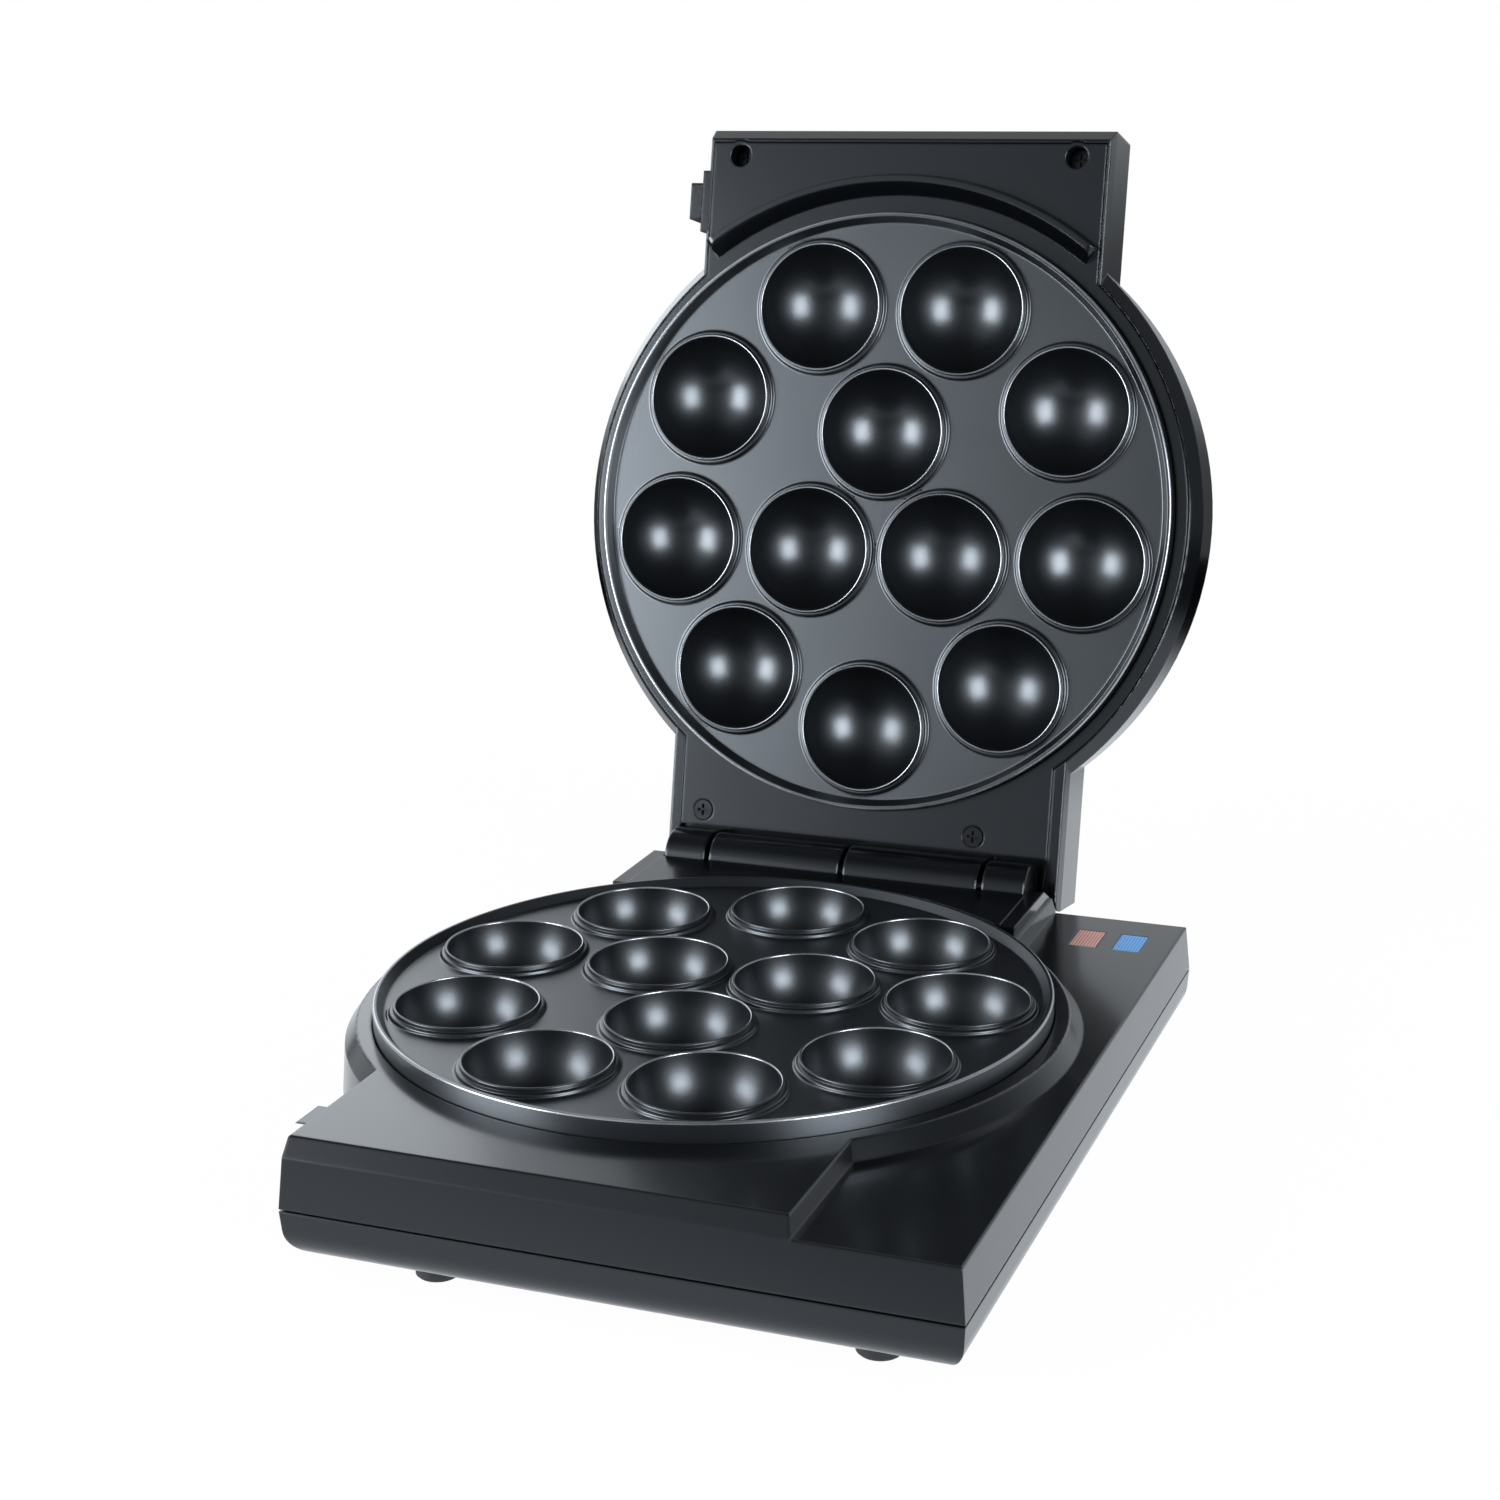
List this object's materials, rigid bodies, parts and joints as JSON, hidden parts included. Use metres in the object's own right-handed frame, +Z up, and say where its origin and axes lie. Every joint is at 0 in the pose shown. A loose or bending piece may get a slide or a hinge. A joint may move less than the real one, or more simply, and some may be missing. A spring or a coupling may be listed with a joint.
{
  "type": "cake pop maker",
  "caption": "Countertop cake pop maker: a round lid hinged to a flat base, each with a non-stick plate of round cavities, a side control panel with lamps and a swivel latch.",
  "frame": {"origin": "on the flat underside of the base's tray, below the centre of the round plates", "axes": "+Z up, +Y to the rear where the hinge is, +X to the side with the control panel; the lid is stored open"},
  "size_m": [0.2178, 0.3288, 0.2727],
  "materials": {
    "gloss_black": "near-black moulded plastic with a polished skin",
    "tray_black": "near-black moulded plastic, a little softer in gloss",
    "nonstick": "cast aluminium under a black satin non-stick coating",
    "element_steel": "dull steel sheath",
    "reflector_sheet": "thin bright pressed sheet",
    "bright_steel": "polished steel pin",
    "dark_steel": "blackened steel",
    "rubber": "black rubber",
    "lens_red": "salmon-red window, finely ribbed",
    "lens_blue": "blue window, finely ribbed",
    "lamp_glass": "small clear glow lamp",
    "ceramic": "cream ceramic or polyamide",
    "thermostat_metal": "metal can with a ceramic body"
  },
  "bodies": {
    "base": {"base_housing": "gloss_black", "base_tray": "tray_black", "lower_plate": "nonstick", "lower_element": "element_steel", "lower_reflector": "reflector_sheet", "lower_thermostat": "thermostat_metal", "lower_fuse": "ceramic", "lower_plate_screws": "dark_steel", "lower_reflector_screws": "dark_steel", "tray_screws": "dark_steel", "heating_lamp_lens": "lens_red", "ready_lamp_lens": "lens_blue", "heating_lamp": "lamp_glass", "ready_lamp": "lamp_glass", "cord_gland": "rubber", "terminal_block": "ceramic", "hinge_pin": "bright_steel", "foot_front_left": "rubber", "foot_front_right": "rubber", "foot_rear_left": "rubber", "foot_rear_right": "rubber"},
    "lid": {"lid_shell": "gloss_black", "lid_liner": "gloss_black", "upper_plate": "nonstick", "upper_element": "element_steel", "upper_reflector": "reflector_sheet", "upper_thermostat": "thermostat_metal", "upper_fuse": "ceramic", "upper_plate_screws": "dark_steel", "upper_reflector_screws": "dark_steel", "handle_screws": "dark_steel", "hinge_screws": "dark_steel", "latch_pin": "bright_steel"},
    "latch": {"latch": "gloss_black"}
  },
  "joints": [
    {"name": "lid_hinge", "type": "hinge", "parent": "base", "child": "lid", "pos_m": [0, 0.117, 0.0354], "axis": [1, 0, 0], "range_deg": [0, 102.3]},
    {"name": "latch_hinge", "type": "hinge", "parent": "lid", "child": "latch", "pos_m": [-0.069, 0.17618, 0.24767], "axis": [1, 0, 0], "range_deg": [0, 180]}
  ]
}
